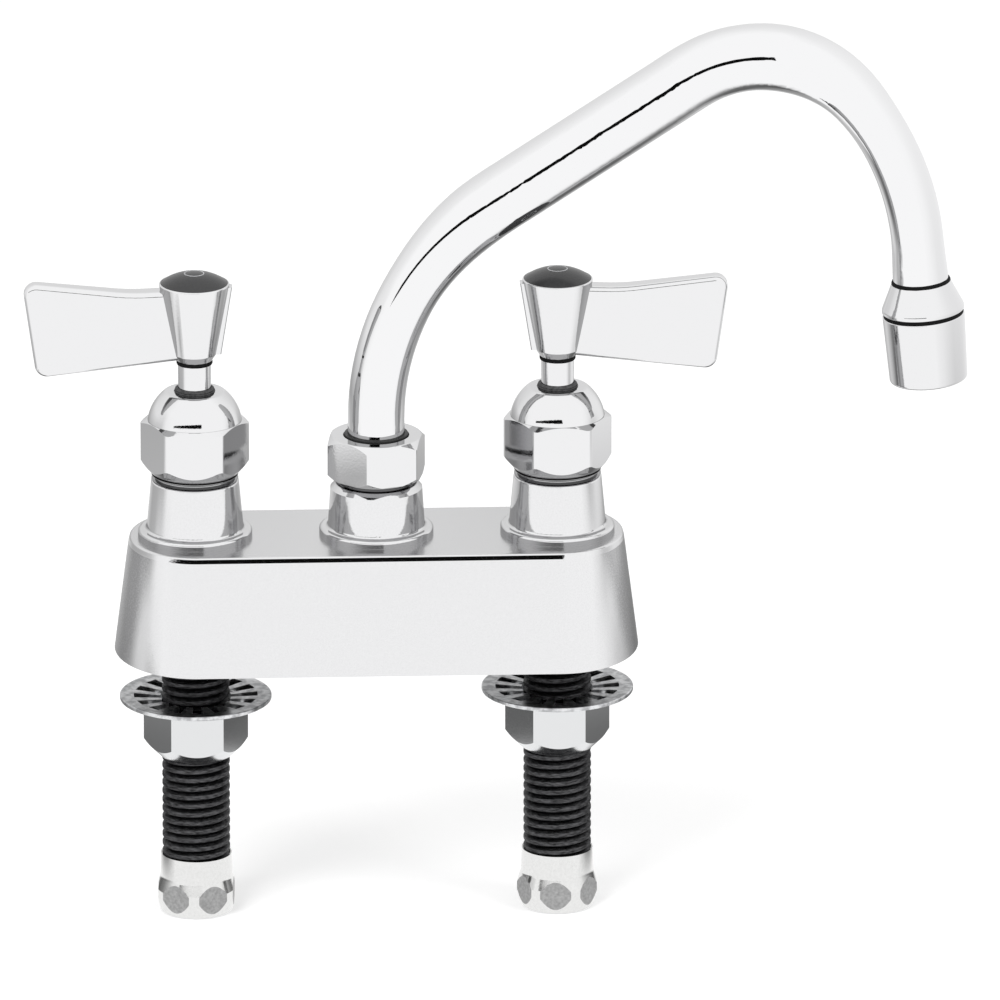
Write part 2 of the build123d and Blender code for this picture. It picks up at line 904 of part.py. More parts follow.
def spout_collar():
    """Flanged ring round the tube: the nut holds its flange, and its lip fills the nut's bore."""
    low = post_neck_top + seat_gap
    flange_top = spout_nut_top - spout_nut_roof - seat_gap
    lip_radius = spout_nut_bore_radius - running_gap
    lip_top = spout_nut_top + collar_lip_rise
    return turned(
        (foot_radius + running_gap, low),
        (spout_collar_radius, low),
        (spout_collar_radius, flange_top),
        (lip_radius, flange_top),
        (lip_radius, lip_top, collar_lip_round),
        (foot_radius + running_gap, lip_top),
    )


def spout_o_rings():
    inside = tail_radius - 2 * o_ring_cord + running_gap / 2
    outside = tail_radius + running_gap / 2
    return Compound([o_ring(inside, outside, height) for height in spout_o_ring_heights])


def spout_nut():
    corner = spout_nut_flats / sqrt(3)
    bore = post_neck_radius + running_gap
    roof = spout_nut_top - spout_nut_roof
    skirt = turned(
        (bore, spout_nut_foot),
        (corner - spout_nut_chamfer, spout_nut_foot),
        (corner, spout_nut_foot + spout_nut_chamfer),
        (corner, spout_nut_top - (corner - spout_nut_top_radius)),
        (spout_nut_top_radius, spout_nut_top, spout_nut_edge_round),
        (spout_nut_bore_radius, spout_nut_top, spout_nut_edge_round),
        (spout_nut_bore_radius, roof),
        (bore, roof),
    )
    return skirt & hex_prism(
        spout_nut_flats, spout_nut_foot, spout_nut_top, spout_nut_turn, spout_nut_corner_round
    )


# Aerator
def outlet_frame():
    """Frame at the visible end of the tube, with Z along the water's way out."""
    drop = spout_path()[-1]
    share = drop_run / drop.length
    return Plane(drop @ share, x_dir=(0, 1, 0), z_dir=drop % share)


def aerator_adapter():
    bore = tip_end_radius - spout_wall
    socket = tip_end_radius + seat_gap
    return turned(
        (socket, 0),
        (adapter_top_radius, 0),
        (aerator_radius, adapter_shoulder, adapter_shoulder_round),
        (aerator_radius, adapter_length, aerator_edge_round),
        (adapter_neck_radius, adapter_length),
        (adapter_neck_radius, adapter_neck_end),
        (bore, adapter_neck_end),
        (bore, adapter_socket + seat_gap),
        (socket, adapter_socket + seat_gap),
    )


def aerator_housing():
    return turned(
        (housing_bore_radius, adapter_length + seam),
        (aerator_radius, adapter_length + seam, aerator_edge_round),
        (housing_foot_radius, housing_end, housing_round),
        (housing_lip_radius, housing_end, housing_lip_round),
        (housing_lip_radius, housing_end - housing_lip),
        (housing_bore_radius, housing_end - housing_lip),
    )


def aerator_seal_ring():
    """Rubber ring in the seam between the adapter and the housing."""
    inner = adapter_neck_radius + running_gap
    outer = aerator_radius - seal_ring_sunk
    return ring(inner, outer, adapter_length + running_gap, adapter_length + seam - running_gap)


def aerator_washer():
    low = adapter_neck_end
    inner = tip_end_radius - spout_wall
    return ring(inner, housing_bore_radius - seat_gap, low, low + aerator_washer_thickness)


def insert_top():
    return adapter_neck_end + aerator_washer_thickness


def screen_top():
    return housing_end - housing_lip - screen_thickness


def aerator_insert():
    """Plastic cup with a ring of jets in its floor."""
    outer = housing_bore_radius - seat_gap
    inner = outer - insert_wall
    top = insert_top()
    cup = turned(
        (0, top),
        (outer, top),
        (outer, screen_top()),
        (inner, screen_top()),
        (inner, top + insert_floor),
        (0, top + insert_floor),
    )
    jets = PolarLocations((inner + 2 * insert_hole_radius) / 2, insert_holes)
    for place in jets:
        cup -= place * Pos(0, 0, top + insert_floor / 2) * Cylinder(insert_hole_radius, 2 * insert_floor)
    return cup


def aerator_screen():
    """Round grille of crossing bars in a ring, held by the housing's lip."""
    outer = housing_bore_radius - seat_gap
    low = screen_top()
    high = low + screen_thickness
    screen = ring(outer - insert_wall, outer, low, high)
    count = int(outer / screen_pitch)
    grille = Box(2 * outer, screen_bar, screen_thickness)
    for number in range(-count, count + 1):
        offset = number * screen_pitch
        grille += Pos(0, offset, 0) * Box(2 * outer, screen_bar, screen_thickness)
        grille += Pos(offset, 0, 0) * Box(screen_bar, 2 * outer, screen_thickness)
    middle = Pos(0, 0, (low + high) / 2)
    return screen + (middle * grille & rod(outer - insert_wall / 2, low, high))


# Assembly: each named piece in its place
def all_pieces():
    outlet = outlet_frame()
    pieces = {
        "body_casting": body_casting(),
        "spout_nut": spout_nut(),
        "spout_tube": spout_tube(),
        "spout_collar": spout_collar(),
        "spout_o_rings": spout_o_rings(),
        "aerator_adapter": outlet * aerator_adapter(),
        "aerator_housing": outlet * aerator_housing(),
        "aerator_seal_ring": outlet * aerator_seal_ring(),
        "aerator_washer": outlet * aerator_washer(),
        "aerator_insert": outlet * aerator_insert(),
        "aerator_screen": outlet * aerator_screen(),
    }
    for side in sides:
        shapes = {
            "shank": shank(),
            "coupling": coupling(side),
            "lock_washer": lock_washer(side),
            "locknut": locknut(side),
            "seat_seal": seat_seal(),
            "fixed_disc": fixed_disc(),
            "moving_disc": moving_disc(),
            "cartridge_sleeve": cartridge_sleeve(side),
            "cartridge_o_ring": cartridge_o_ring(),
            "stem": stem(side),
            "stem_o_ring": stem_o_ring(),
            "bonnet_nut": bonnet_nut(side),
            "stem_wiper": stem_wiper(),
            "handle": handle(side),
            "handle_screw": handle_screw(),
            "index_button": index_button(),
        }
        for name, shape in shapes.items():
            pieces[f"{side}_{name}"] = at_valve(side, shape)
    return pieces


os.makedirs("parts", exist_ok=True)
for name, shape in all_pieces().items():
    export_step(shape, f"parts/{name}.step")
    print(f"{name}: {len(shape.solids())} solid, {shape.volume:.0f} cubic mm")
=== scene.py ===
# %% [markdown]
# A chrome centreset faucet, photographed in a white studio.
# The measured model is loaded as a fixed frame: its pieces are in metres, in their real places, and
# they keep their shapes. This script gives each of them its finish, puts real helical threads on
# the two shanks, adds fine black rings at the joints and under the washers as painted shade, and
# builds the small studio that the chrome reflects. Chrome has no colour of its own, so most of its
# look is made by that studio.

# %% Load the measured model
import bpy
import bmesh
import json
from math import cos, pi, radians, sin
from mathutils import Matrix, Vector


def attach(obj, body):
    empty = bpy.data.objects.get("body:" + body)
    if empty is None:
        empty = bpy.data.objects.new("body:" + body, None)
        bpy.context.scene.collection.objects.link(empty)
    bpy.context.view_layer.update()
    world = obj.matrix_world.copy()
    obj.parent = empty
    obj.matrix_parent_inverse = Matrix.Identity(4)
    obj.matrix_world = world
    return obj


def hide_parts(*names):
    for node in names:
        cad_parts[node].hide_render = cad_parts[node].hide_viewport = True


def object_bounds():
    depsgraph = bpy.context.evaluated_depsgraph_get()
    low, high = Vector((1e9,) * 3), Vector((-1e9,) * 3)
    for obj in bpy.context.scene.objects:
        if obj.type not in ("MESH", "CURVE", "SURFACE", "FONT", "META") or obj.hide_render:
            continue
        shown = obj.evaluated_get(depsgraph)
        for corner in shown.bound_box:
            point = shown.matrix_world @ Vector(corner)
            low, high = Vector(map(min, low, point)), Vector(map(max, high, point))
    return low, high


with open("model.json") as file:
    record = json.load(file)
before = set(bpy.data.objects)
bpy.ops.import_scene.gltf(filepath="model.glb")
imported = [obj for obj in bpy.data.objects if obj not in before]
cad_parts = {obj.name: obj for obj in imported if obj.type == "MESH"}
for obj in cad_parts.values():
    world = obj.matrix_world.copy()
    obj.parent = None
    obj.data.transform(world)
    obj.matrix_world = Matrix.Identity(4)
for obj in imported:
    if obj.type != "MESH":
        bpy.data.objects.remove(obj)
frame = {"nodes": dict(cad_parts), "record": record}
cad_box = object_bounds()
MM = 0.001
sides = {"hot": -50.8, "cold": 50.8}    # where each valve's axis stands, in mm


# %% [markdown]
# A material is a small tree of nodes. One function adds any node with its settings and links,
# so that each finish below reads as a short recipe. Colours are written as sRGB hex values,
# the way a paint chip is labelled, and turned to linear light, which is what shaders work in.

# %% Helpers for colours and nodes
def linear(hex_code, alpha=1.0):
    channels = []
    for start in (1, 3, 5):
        value = int(hex_code[start:start + 2], 16) / 255
        channels.append(value / 12.92 if value <= 0.04045 else ((value + 0.055) / 1.055) ** 2.4)
    return (*channels, alpha)


def add(tree, kind, links=None, values=None, **settings):
    """Add a node; links and values map its inputs, settings name its properties or inputs."""
    node = tree.nodes.new(kind)
    for name, value in settings.items():
        if hasattr(node, name):
            setattr(node, name, value)
        else:
            node.inputs[name.replace("_", " ")].default_value = value
    for name, value in (values or {}).items():
        node.inputs[name].default_value = value
    for name, output in (links or {}).items():
        tree.links.new(output, node.inputs[name])
    return node


def new_material(name):
    material = bpy.data.materials.new(name)
    material.use_nodes = True
    material.node_tree.nodes.clear()
    return material


def finish_material(material, surface):
    output = material.node_tree.nodes.new("ShaderNodeOutputMaterial")
    material.node_tree.links.new(surface, output.inputs["Surface"])
    return material


# %% [markdown]
# The photograph was taken from a little above with a long lens, so upright edges stay parallel.
# The valve axes are 101.6 mm apart there over 362.6 pixels, which gives the size of a pixel at the
# faucet; the camera's distance and the pixel's size give the lens.

# %% Camera
camera_distance = 7.0
camera_elevation = radians(18.0)
camera_azimuth = radians(-2.6)
pixel_size = 101.6 * MM / 362.6
image_pixels = 1000
sensor_width = 36.0
aim = Vector((34.697, 0.0, 41.983)) * MM

camera_data = bpy.data.cameras.new("product_camera")
camera = bpy.data.objects.new("product_camera", camera_data)
bpy.context.scene.collection.objects.link(camera)
towards_camera = Vector((
    sin(camera_azimuth) * cos(camera_elevation),
    -cos(camera_azimuth) * cos(camera_elevation),
    sin(camera_elevation),
))
camera.location = aim + camera_distance * towards_camera
camera.rotation_euler = (-towards_camera).to_track_quat("-Z", "Y").to_euler()
camera_data.sensor_width = sensor_width
camera_data.lens = sensor_width * camera_distance / (pixel_size * image_pixels)
camera_data.clip_end = 100.0
bpy.context.scene.camera = camera
print("lens in mm:", round(camera_data.lens, 1))


# %% [markdown]
# Chrome plate is a hard, thin layer over polished brass: a metal with an almost neutral
# reflection and very little roughness. What keeps it from looking like computer glass is that the
# brass under it was buffed by hand, so its surface is never quite true. Long, very shallow waves
# bend the reflections, and a fine grain, like the skin of an orange, breaks up their edges. The
# same recipe with more roughness and a darker colour gives the machined and plated pieces.

# %% Buffed and machined metal
orange_peel_mm = 0.6
smoothest, roughest = 0.7, 1.4    # shares of the finish's own roughness


def buffed_metal(name, colour, roughness, wave_mm, wave_depth, grain_depth=0.0):
    material = new_material(name)
    tree = material.node_tree
    place = add(tree, "ShaderNodeTexCoord")
    waves = add(tree, "ShaderNodeTexNoise", {"Vector": place.outputs["Object"]},
                Scale=1 / (wave_mm * MM), Detail=1.0)
    grain = add(tree, "ShaderNodeTexNoise", {"Vector": place.outputs["Object"]},
                Scale=1 / (orange_peel_mm * MM), Detail=3.0)
    spread = add(tree, "ShaderNodeMapRange", {"Value": grain.outputs["Fac"]},
                 To_Min=roughness * smoothest, To_Max=roughness * roughest)
    peel = add(tree, "ShaderNodeBump", {"Height": grain.outputs["Fac"]},
               Strength=0.5, Distance=grain_depth * MM)
    buffed = add(tree, "ShaderNodeBump",
                 {"Height": waves.outputs["Fac"], "Normal": peel.outputs["Normal"]},
                 Strength=0.5, Distance=wave_depth * MM)
    metal = add(tree, "ShaderNodeBsdfPrincipled",
                {"Roughness": spread.outputs["Result"], "Normal": buffed.outputs["Normal"]},
                Base_Color=linear(colour), Metallic=1.0)
    return finish_material(material, metal.outputs["BSDF"])


chrome = buffed_metal("buffed_chrome_plate", "#F0F0F1", 0.045, wave_mm=14.0, wave_depth=0.015,
                      grain_depth=0.014)
tube_chrome = buffed_metal("drawn_tube_chrome", "#F6F6F7", 0.025, wave_mm=22.0, wave_depth=0.01)
zinc = buffed_metal("zinc_plated_brass", "#E6E7E8", 0.12, wave_mm=6.0, wave_depth=0.02,
                    grain_depth=0.012)
brass = buffed_metal("turned_brass", "#C9A961", 0.22, wave_mm=5.0, wave_depth=0.02)
stainless = buffed_metal("stainless_steel", "#C4C4C2", 0.18, wave_mm=5.0, wave_depth=0.02)
print("metals:", chrome.name, tube_chrome.name, zinc.name, brass.name, stainless.name)


# %% [markdown]
# The base is one casting, finished in three ways. Its broad faces were brushed satin by a wheel,
# and its rounded ends are given a painted shade, darker with a fine speckle. Its rim and bosses
# were buffed bright. Under each nut a little of the fine thread stays bare, with a painted shadow
# against the nut, then grey bands of painted ridge shading. Height and distance find each of these
# zones.

# %% Bare thread under the nuts, with painted shadow and ridge shading
nut_foot = {"boss": 51.9, "post": 50.0}
boss_zone = 20.0
bare_height, ridge_height = 2.2, 2.4
# painted shade: black against the nut's foot as a painted shadow, then light and dark bands that
# paint the shading of thread ridges
nut_shadow_and_ridge_shades = ((0.0, "#080808"), (0.16, "#2A2A2B"), (0.26, "#B8B8B9"), (0.42, "#9E9E9F"),
               (0.56, "#CCCCCD"), (0.72, "#9C9C9D"), (0.9, "#E6E6E7"))


def thread_shade_under_nut(tree, from_middle, height):
    """Where the thread is bare under a nut, and its painted shade by the depth below the nut: a
    painted shadow against the nut, then painted ridge shading.
    """
    at_boss = add(tree, "ShaderNodeMath", {0: from_middle}, {1: boss_zone * MM},
                  operation="GREATER_THAN")
    foot = add(tree, "ShaderNodeMapRange", {"Value": at_boss.outputs[0]},
               To_Min=nut_foot["post"] * MM, To_Max=nut_foot["boss"] * MM)
    below_nut = add(tree, "ShaderNodeMath", {0: foot.outputs[0], 1: height},
                    operation="SUBTRACT")
    depth = add(tree, "ShaderNodeMapRange", {"Value": below_nut.outputs[0]},
                From_Max=ridge_height * MM)
    ridge_shade_ramp = add(tree, "ShaderNodeValToRGB", {"Fac": depth.outputs[0]})
    elements = ridge_shade_ramp.color_ramp.elements
    for number, (position, shade) in enumerate(nut_shadow_and_ridge_shades):
        stop = elements[number] if number < 2 else elements.new(position)
        stop.position = position
        stop.color = linear(shade)
    bare = add(tree, "ShaderNodeMath", {0: below_nut.outputs[0]}, {1: bare_height * MM},
               operation="LESS_THAN")
    return bare.outputs[0], ridge_shade_ramp.outputs["Color"]


print("bare thread in mm:", bare_height)


# %% [markdown]
# The wheel left its satin on all that lies below the rim, and on the flat top plate. The base
# narrows as it rises, so an end begins nearer the middle higher up: the distance from the middle,
# with the lean added back, finds the ends at every height, for their painted shade.

# %% Satin faces and painted shade at the ends
satin_top = 31.3
plate_height, plate_tolerance = 33.1, 0.15
draft_slope = 0.218
end_start, end_full = 68.5, 72.0


def satin_zones(tree, from_middle, height):
    """The top plate, all brushed faces, and how far a brushed place lies into an end, for the
    painted end shade.
    """
    lean = add(tree, "ShaderNodeMath", {0: height}, {1: draft_slope}, operation="MULTIPLY")
    reach = add(tree, "ShaderNodeMath", {0: from_middle, 1: lean.outputs[0]}, operation="ADD")
    ending = add(tree, "ShaderNodeMapRange", {"Value": reach.outputs[0]},
                 From_Min=end_start * MM, From_Max=end_full * MM, interpolation_type="SMOOTHSTEP")
    low = add(tree, "ShaderNodeMath", {0: height}, {1: satin_top * MM}, operation="LESS_THAN")
    plate = add(tree, "ShaderNodeMath", {0: height},
                {1: plate_height * MM, 2: plate_tolerance * MM}, operation="COMPARE")
    brushed = add(tree, "ShaderNodeMath", {0: low.outputs[0], 1: plate.outputs[0]},
                  operation="MAXIMUM")
    end_shade_mask = add(tree, "ShaderNodeMath", {0: ending.outputs[0], 1: low.outputs[0]},
                  operation="MULTIPLY")
    return plate.outputs[0], brushed.outputs[0], end_shade_mask.outputs[0]


print("satin up to:", satin_top, "and on the plate at:", plate_height)


# %% [markdown]
# One material joins the zones. A fine noise of 0.45 mm is the grain of the casting: it varies the
# colour a little, speckles the painted shade at the ends and spreads the satin's roughness. The
# flat plate was left the dullest, so it mirrors the bosses only softly.

# %% Finish of the casting
casting_grain_mm, wheel_wave_mm = 0.45, 18.0
bright_roughness, plate_dulling = 0.045, 0.08


def casting_chrome():
    material = new_material("brushed_chrome_casting")
    tree = material.node_tree
    place = add(tree, "ShaderNodeTexCoord")
    axes = add(tree, "ShaderNodeSeparateXYZ", {"Vector": place.outputs["Object"]})
    from_middle = add(tree, "ShaderNodeMath", {0: axes.outputs["X"]}, operation="ABSOLUTE")
    bare, painted_thread_shade = thread_shade_under_nut(tree, from_middle.outputs[0], axes.outputs["Z"])
    plate, brushed, end_shade_mask = satin_zones(tree, from_middle.outputs[0], axes.outputs["Z"])
    grain = add(tree, "ShaderNodeTexNoise", {"Vector": place.outputs["Object"]},
                Scale=1 / (casting_grain_mm * MM), Detail=4.0)
    bright = add(tree, "ShaderNodeMix", {"Factor": grain.outputs["Fac"]},
                 {6: linear("#E8E8E9"), 7: linear("#F3F3F4")}, data_type="RGBA")
    # painted shade: the rounded low ends are mixed toward a darker grey, speckled by the grain
    end_speckle = add(tree, "ShaderNodeMapRange", {"Value": grain.outputs["Fac"]}, From_Min=0.3,
               From_Max=0.7, To_Min=1.25, To_Max=0.6)
    painted_end_shade = add(tree, "ShaderNodeMath", {0: end_shade_mask, 1: end_speckle.outputs[0]},
                 operation="MULTIPLY", use_clamp=True)
    ends = add(tree, "ShaderNodeMix", {"Factor": painted_end_shade.outputs[0], 6: bright.outputs[2]},
               {7: linear("#C4C4C5")}, data_type="RGBA")
    colour = add(tree, "ShaderNodeMix", {"Factor": bare, 6: ends.outputs[2], 7: painted_thread_shade},
                 data_type="RGBA")
    satin = add(tree, "ShaderNodeMapRange", {"Value": grain.outputs["Fac"]}, To_Min=0.09,
                To_Max=0.17)
    roughness = add(tree, "ShaderNodeMapRange", {"Value": brushed, "To Max": satin.outputs[0]},
                    To_Min=bright_roughness)
    dull = add(tree, "ShaderNodeMath", {0: plate, 2: roughness.outputs[0]}, {1: plate_dulling},
               operation="MULTIPLY_ADD")
    waves = add(tree, "ShaderNodeTexNoise", {"Vector": place.outputs["Object"]},
                Scale=1 / (wheel_wave_mm * MM), Detail=1.0)
    peel = add(tree, "ShaderNodeBump", {"Height": grain.outputs["Fac"]}, Strength=0.5,
               Distance=0.02 * MM)
    buffed = add(tree, "ShaderNodeBump",
                 {"Height": waves.outputs["Fac"], "Normal": peel.outputs["Normal"]},
                 Strength=0.5, Distance=0.012 * MM)
    metal = add(tree, "ShaderNodeBsdfPrincipled",
                {"Base Color": colour.outputs[2], "Roughness": dull.outputs[0],
                 "Normal": buffed.outputs["Normal"]}, Metallic=1.0)
    return finish_material(material, metal.outputs["BSDF"])


casting = casting_chrome()
print("casting finish:", casting.name)


# %% [markdown]
# The rounded end pieces are bright nickel over brass, and their six wrench flats were milled
# after plating, so they are dull grey. A flat is the same distance from the axis all over,
# and the round body between two flats lies nearer, so that distance finds the flats:
# the angle round the axis is folded into one sixth of a turn and measured along its middle.

# %% End pieces with milled flats
flat_turns = {"hot": 24.5, "cold": -5.0}    # how each piece is turned, in degrees
flat_start, flat_full = 10.46, 10.49
plating_grain_mm = 0.8


def from_axis(tree, axes, side):
    """The place across a shank's own axis: x, and the distance from the axis."""
    x = add(tree, "ShaderNodeMath", {0: axes.outputs["X"]}, {1: sides[side] * MM},
            operation="SUBTRACT")
    across = add(tree, "ShaderNodeCombineXYZ", {"X": x.outputs[0], "Y": axes.outputs["Y"]})
    radius = add(tree, "ShaderNodeVectorMath", {0: across.outputs[0]}, operation="LENGTH")
    return x.outputs[0], radius.outputs["Value"]


def end_piece_nickel(side, turn_degrees):
    material = new_material("nickel_end_piece_" + side)
    tree = material.node_tree
    place = add(tree, "ShaderNodeTexCoord")
    axes = add(tree, "ShaderNodeSeparateXYZ", {"Vector": place.outputs["Object"]})
    x, radius = from_axis(tree, axes, side)
    angle = add(tree, "ShaderNodeMath", {0: axes.outputs["Y"], 1: x}, operation="ARCTAN2")
    turned_back = add(tree, "ShaderNodeMath", {0: angle.outputs[0]},
                      {1: radians(turn_degrees + 30)}, operation="SUBTRACT")
    folded = add(tree, "ShaderNodeMath", {0: turned_back.outputs[0]}, {1: pi / 6, 2: -pi / 6},
                 operation="WRAP")
    along_middle = add(tree, "ShaderNodeMath", {0: folded.outputs[0]}, operation="COSINE")
    distance = add(tree, "ShaderNodeMath", {0: radius, 1: along_middle.outputs[0]},
                   operation="MULTIPLY")
    flat = add(tree, "ShaderNodeMapRange", {"Value": distance.outputs[0]},
               From_Min=flat_start * MM, From_Max=flat_full * MM)
    grain = add(tree, "ShaderNodeTexNoise", {"Vector": place.outputs["Object"]},
                Scale=1 / (plating_grain_mm * MM), Detail=3.0)
    milled = add(tree, "ShaderNodeMix", {"Factor": grain.outputs["Fac"]},
                 {6: linear("#7E7E7E"), 7: linear("#CFCFCF")}, data_type="RGBA")
    plated = add(tree, "ShaderNodeMix", {"Factor": grain.outputs["Fac"]},
                 {6: linear("#E2E2E1"), 7: linear("#F2F2F1")}, data_type="RGBA")
    colour = add(tree, "ShaderNodeMix",
                 {"Factor": flat.outputs[0], 6: plated.outputs[2], 7: milled.outputs[2]},
                 data_type="RGBA")
    roughness = add(tree, "ShaderNodeMapRange", {"Value": flat.outputs[0]}, To_Min=0.12, To_Max=0.5)
    metal = add(tree, "ShaderNodeBsdfPrincipled",
                {"Base Color": colour.outputs[2], "Roughness": roughness.outputs[0]}, Metallic=1.0)
    return finish_material(material, metal.outputs["BSDF"])


end_pieces = {side: end_piece_nickel(side, turn) for side, turn in flat_turns.items()}
print("end pieces:", [material.name for material in end_pieces.values()])


# %% [markdown]
# The shanks are cut from bar and left a dark, dull nickel. The grooves get a painted shade, darker
# than the crests. The distance from the axis tells groove from crest. A streaky noise, squeezed
# along the axis, follows the cutter's path round the thread and varies the crests' colour.

# %% Dark threaded nickel
thread_crest = 9.525
thread_pitch = 2.54
thread_root = thread_crest - 0.61 * thread_pitch    # the thread is 0.61 of its pitch deep
streak_mm, streak_squeeze = 1.8, 4
groove_shade_start, groove_shade_end = 0.1, 0.9    # where the painted groove shade gives way to the crest colour, above the root


def thread_nickel(side):
    material = new_material("dull_nickel_thread_" + side)
    tree = material.node_tree
    place = add(tree, "ShaderNodeTexCoord")
    axes = add(tree, "ShaderNodeSeparateXYZ", {"Vector": place.outputs["Object"]})
    _, radius = from_axis(tree, axes, side)
    height = add(tree, "ShaderNodeMapRange", {"Value": radius},
                 From_Min=(thread_root + groove_shade_start) * MM,
                 From_Max=(thread_root + groove_shade_end) * MM)
    squeeze = add(tree, "ShaderNodeMapping", {"Vector": place.outputs["Object"]},
                  Scale=(1, 1, streak_squeeze))
    streaks = add(tree, "ShaderNodeTexNoise", {"Vector": squeeze.outputs["Vector"]},
                  Scale=1 / (streak_mm * MM), Detail=5.0)
    chatter = add(tree, "ShaderNodeMapRange", {"Value": streaks.outputs["Fac"]}, From_Min=0.32,
                  From_Max=0.68)
    crest = add(tree, "ShaderNodeMix", {"Factor": chatter.outputs[0]},
                {6: linear("#2C2C2D"), 7: linear("#6A6A6C")}, data_type="RGBA")
    # painted shade: near the root the groove is mixed to a darker grey
    colour = add(tree, "ShaderNodeMix", {"Factor": height.outputs[0], 7: crest.outputs[2]},
                 {6: linear("#303031")}, data_type="RGBA")
    bump = add(tree, "ShaderNodeBump", {"Height": streaks.outputs["Fac"]}, Strength=0.8,
               Distance=0.45 * MM)
    metal = add(tree, "ShaderNodeBsdfPrincipled",
                {"Base Color": colour.outputs[2], "Normal": bump.outputs["Normal"]},
                Roughness=0.5, Metallic=1.0)
    return finish_material(material, metal.outputs["BSDF"])


thread_finish = {side: thread_nickel(side) for side in sides}
print("thread depth in mm:", round(thread_crest - thread_root, 2))


# %% [markdown]
# The lock washers are stamped from thin sheet and barrel-plated, so they are mottled: bright
# where the barrel rubbed them and grey where the plating is thin. A noise of about 2 mm mixes
# the two greys.

# %% Mottled washer steel
blotch_mm = 2.2


def mottled_steel():
    material = new_material("stamped_zinc_steel")
    tree = material.node_tree
    place = add(tree, "ShaderNodeTexCoord")
    spots = add(tree, "ShaderNodeTexNoise", {"Vector": place.outputs["Object"]},
                Scale=1 / (blotch_mm * MM), Detail=5.0)
    sharper = add(tree, "ShaderNodeMapRange", {"Value": spots.outputs["Fac"]},
                  From_Min=0.38, From_Max=0.62)
    colour = add(tree, "ShaderNodeMix", {"Factor": sharper.outputs[0]},
                 {6: linear("#B4B5B7"), 7: linear("#F0F1F2")}, data_type="RGBA")
    bump = add(tree, "ShaderNodeBump", {"Height": spots.outputs["Fac"]}, Strength=0.5,
               Distance=0.06 * MM)
    metal = add(tree, "ShaderNodeBsdfPrincipled",
                {"Base Color": colour.outputs[2], "Normal": bump.outputs["Normal"]},
                Roughness=0.3, Metallic=1.0)
    return finish_material(material, metal.outputs["BSDF"])


washer_steel = mottled_steel()
print("washer finish:", washer_steel.name)


# %% [markdown]
# The other materials are not metal: nitrile rubber rings, acetal plastic, lapped ceramic discs and
# the two dark caps. They reflect a few percent of the light, as their refractive index says, over
# a body colour that a fine grain varies a little. Dusty rubber reflects less than its index
# says, so its gloss is turned down. The packing at each stem is rubber with worn grey graphite.

# %% Rubber, plastic and ceramic
def moulded(name, colour, colour_2, roughness, ior, grain_mm, grain_depth, gloss=0.5):
    material = new_material(name)
    tree = material.node_tree
    place = add(tree, "ShaderNodeTexCoord")
    grain = add(tree, "ShaderNodeTexNoise", {"Vector": place.outputs["Object"]},
                Scale=1 / (grain_mm * MM), Detail=2.0)
    tint = add(tree, "ShaderNodeMix", {"Factor": grain.outputs["Fac"]},
               {6: linear(colour), 7: linear(colour_2)}, data_type="RGBA")
    bump = add(tree, "ShaderNodeBump", {"Height": grain.outputs["Fac"]},
               Strength=0.6, Distance=grain_depth * MM)
    body = add(tree, "ShaderNodeBsdfPrincipled",
               {"Base Color": tint.outputs[2], "Normal": bump.outputs["Normal"]},
               Roughness=roughness, IOR=ior, Specular_IOR_Level=gloss)
    return finish_material(material, body.outputs["BSDF"])


rubber = moulded("moulded_nitrile_rubber", "#080808", "#121213", roughness=0.7, ior=1.52,
                 grain_mm=0.6, grain_depth=0.02, gloss=0.15)
packing = moulded("graphite_packing", "#0A0A0A", "#6E6E6F", roughness=0.6, ior=1.52,
                  grain_mm=0.9, grain_depth=0.05, gloss=0.3)
cap_plastic = moulded("dark_abs_cap", "#29292A", "#363637", roughness=0.24, ior=1.53,
                      grain_mm=0.8, grain_depth=0.004)
ring_paint = moulded("pale_inlay_paint", "#B9BABC", "#C9CACC", roughness=0.35, ior=1.5,
                     grain_mm=0.4, grain_depth=0.004)
acetal = moulded("white_acetal", "#DEDEDA", "#E8E8E4", roughness=0.35, ior=1.48,
                 grain_mm=0.5, grain_depth=0.01)
dark_acetal = moulded("dark_acetal", "#161617", "#202021", roughness=0.4, ior=1.48,
                      grain_mm=0.5, grain_depth=0.01)
ceramic = moulded("lapped_alumina", "#ECECE8", "#F4F4F0", roughness=0.25, ior=1.76,
                  grain_mm=0.3, grain_depth=0.002)
print("plastics:", rubber.name, cap_plastic.name, acetal.name, ceramic.name)


# %% [markdown]
# Every carried-over piece names its material slot in the record. The table gives each slot the
# finish made above. The base, the tube, the end pieces and the shanks have their own finish,
# because they were made another way than the turned pieces that share their slot.

# %% Finish the measured pieces
finishes = {
    "chrome_plate": chrome,
    "nickel_plate": stainless,
    "zinc_plated_steel": washer_steel,
    "zinc_plated_brass": zinc,
    "raw_brass": brass,
    "stainless_steel": stainless,
    "stainless_mesh": stainless,
    "valve_ceramic": ceramic,
    "black_rubber": rubber,
    "nylon": dark_acetal,
    "white_acetal": acetal,
    "dark_index_plastic": cap_plastic,
}
own_finishes = {"body_casting": casting, "spout_tube": tube_chrome}
for side in sides:
    own_finishes[side + "_coupling"] = end_pieces[side]
    own_finishes[side + "_shank"] = thread_finish[side]
for piece in frame["record"]["subparts"]:
    node = frame["nodes"][piece["node"]]
    finish = own_finishes.get(piece["node"], finishes[piece["material_slot"]])
    node.data.materials.clear()
    node.data.materials.append(finish)


# %% [markdown]
# New pieces are meshes made in code. This helper takes a list of corner points and faces, joins
# the faces smoothly, and keeps as crisp edges those that turn by more than 35 degrees.

# %% Mesh helper
crease = radians(35)


def shade_smooth(data):
    data.polygons.foreach_set("use_smooth", [True] * len(data.polygons))
    data.set_sharp_from_angle(angle=crease)


